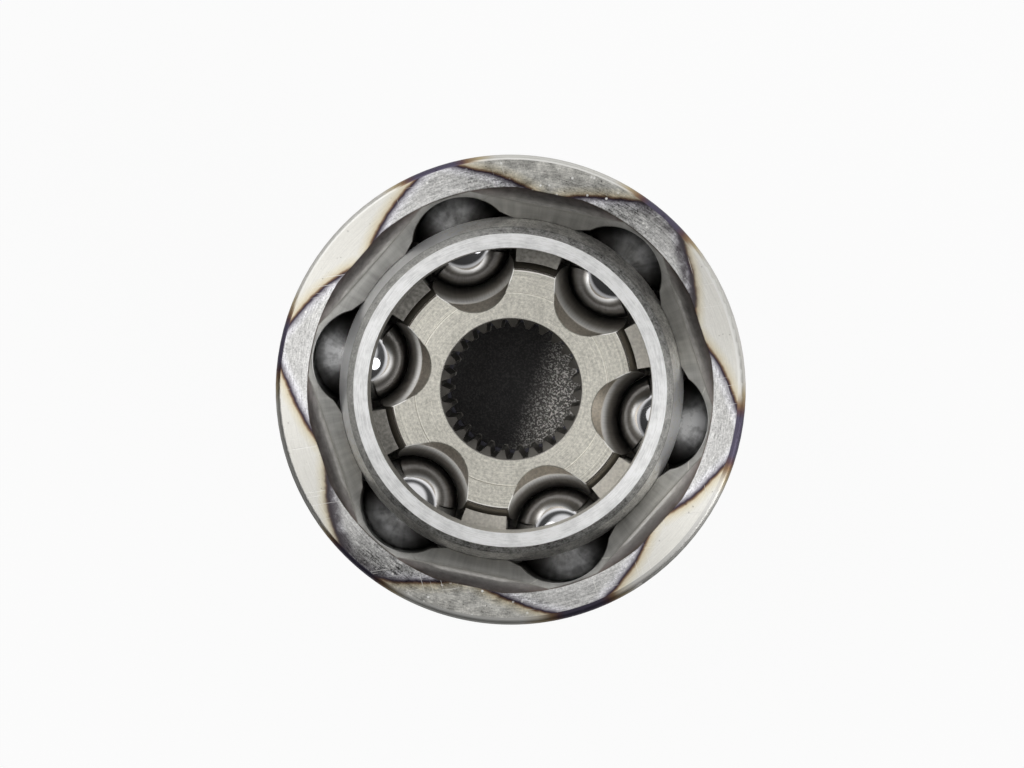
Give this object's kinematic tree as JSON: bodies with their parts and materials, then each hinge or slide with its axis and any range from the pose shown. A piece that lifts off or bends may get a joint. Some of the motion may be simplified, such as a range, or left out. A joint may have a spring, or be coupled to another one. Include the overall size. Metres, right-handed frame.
{
  "type": "cv joint",
  "caption": "Fixed ball-type outer constant-velocity joint: forged bell with a splined, threaded stub, ball cage, grooved inner race with a splined bore, and a snap ring.",
  "frame": {"origin": "centre of the shoulder face that bears on the wheel bearing, on the joint's axis", "axes": "+Z along the axis out of the joint's mouth; +X through a ball track, and the joint bends about the line parallel to X through the joint centre, 42 mm above the origin"},
  "size_m": [0.086, 0.086, 0.139],
  "materials": {
    "forged_steel": "forged and partly machined, satin",
    "hardened_steel": "case hardened and ground",
    "ground_steel": "turned and ground",
    "polished_steel": "polished",
    "spring_steel": "blued"
  },
  "bodies": {
    "outer_race": {"outer_race": "forged_steel"},
    "cage": {"cage": "hardened_steel"},
    "inner_race": {"inner_race": "ground_steel", "snap_ring": "spring_steel"},
    "ball_1": {"ball_1": "polished_steel"},
    "ball_2": {"ball_2": "polished_steel"},
    "ball_3": {"ball_3": "polished_steel"},
    "ball_4": {"ball_4": "polished_steel"},
    "ball_5": {"ball_5": "polished_steel"},
    "ball_6": {"ball_6": "polished_steel"}
  },
  "joints": [
    {"name": "cage_tilt", "type": "hinge", "parent": "outer_race", "child": "cage", "pos_m": [0, 0, 0.042], "axis": [1, 0, 0], "range_deg": [-23, 23]},
    {"name": "inner_tilt", "type": "hinge", "parent": "cage", "child": "inner_race", "pos_m": [0, 0, 0.042], "axis": [1, 0, 0], "range_deg": [-23, 23]},
    {"name": "ball_1_spin", "type": "hinge", "parent": "cage", "child": "ball_1", "pos_m": [0.0292, 0, 0.042], "axis": [1, 0, 0], "continuous": true},
    {"name": "ball_2_swing", "type": "hinge", "parent": "cage", "child": "ball_2", "pos_m": [0.01363, 0.02585, 0.042], "axis": [0, 0, 1], "range_deg": [-83, 83]},
    {"name": "ball_3_swing", "type": "hinge", "parent": "cage", "child": "ball_3", "pos_m": [-0.01363, 0.02585, 0.042], "axis": [0, 0, -1], "range_deg": [-83, 83]},
    {"name": "ball_4_spin", "type": "hinge", "parent": "cage", "child": "ball_4", "pos_m": [-0.0292, 0, 0.042], "axis": [-1, 0, 0], "continuous": true},
    {"name": "ball_5_swing", "type": "hinge", "parent": "cage", "child": "ball_5", "pos_m": [-0.01363, -0.02585, 0.042], "axis": [0, 0, -1], "range_deg": [-83, 83]},
    {"name": "ball_6_swing", "type": "hinge", "parent": "cage", "child": "ball_6", "pos_m": [0.01363, -0.02585, 0.042], "axis": [0, 0, 1], "range_deg": [-83, 83]}
  ],
  "couplings": [
    {"joint": "inner_tilt", "follows": "cage_tilt", "ratio": 1},
    {"joint": "ball_2_swing", "follows": "cage_tilt", "ratio": 3.6},
    {"joint": "ball_3_swing", "follows": "cage_tilt", "ratio": 3.6},
    {"joint": "ball_5_swing", "follows": "cage_tilt", "ratio": 3.6},
    {"joint": "ball_6_swing", "follows": "cage_tilt", "ratio": 3.6}
  ]
}
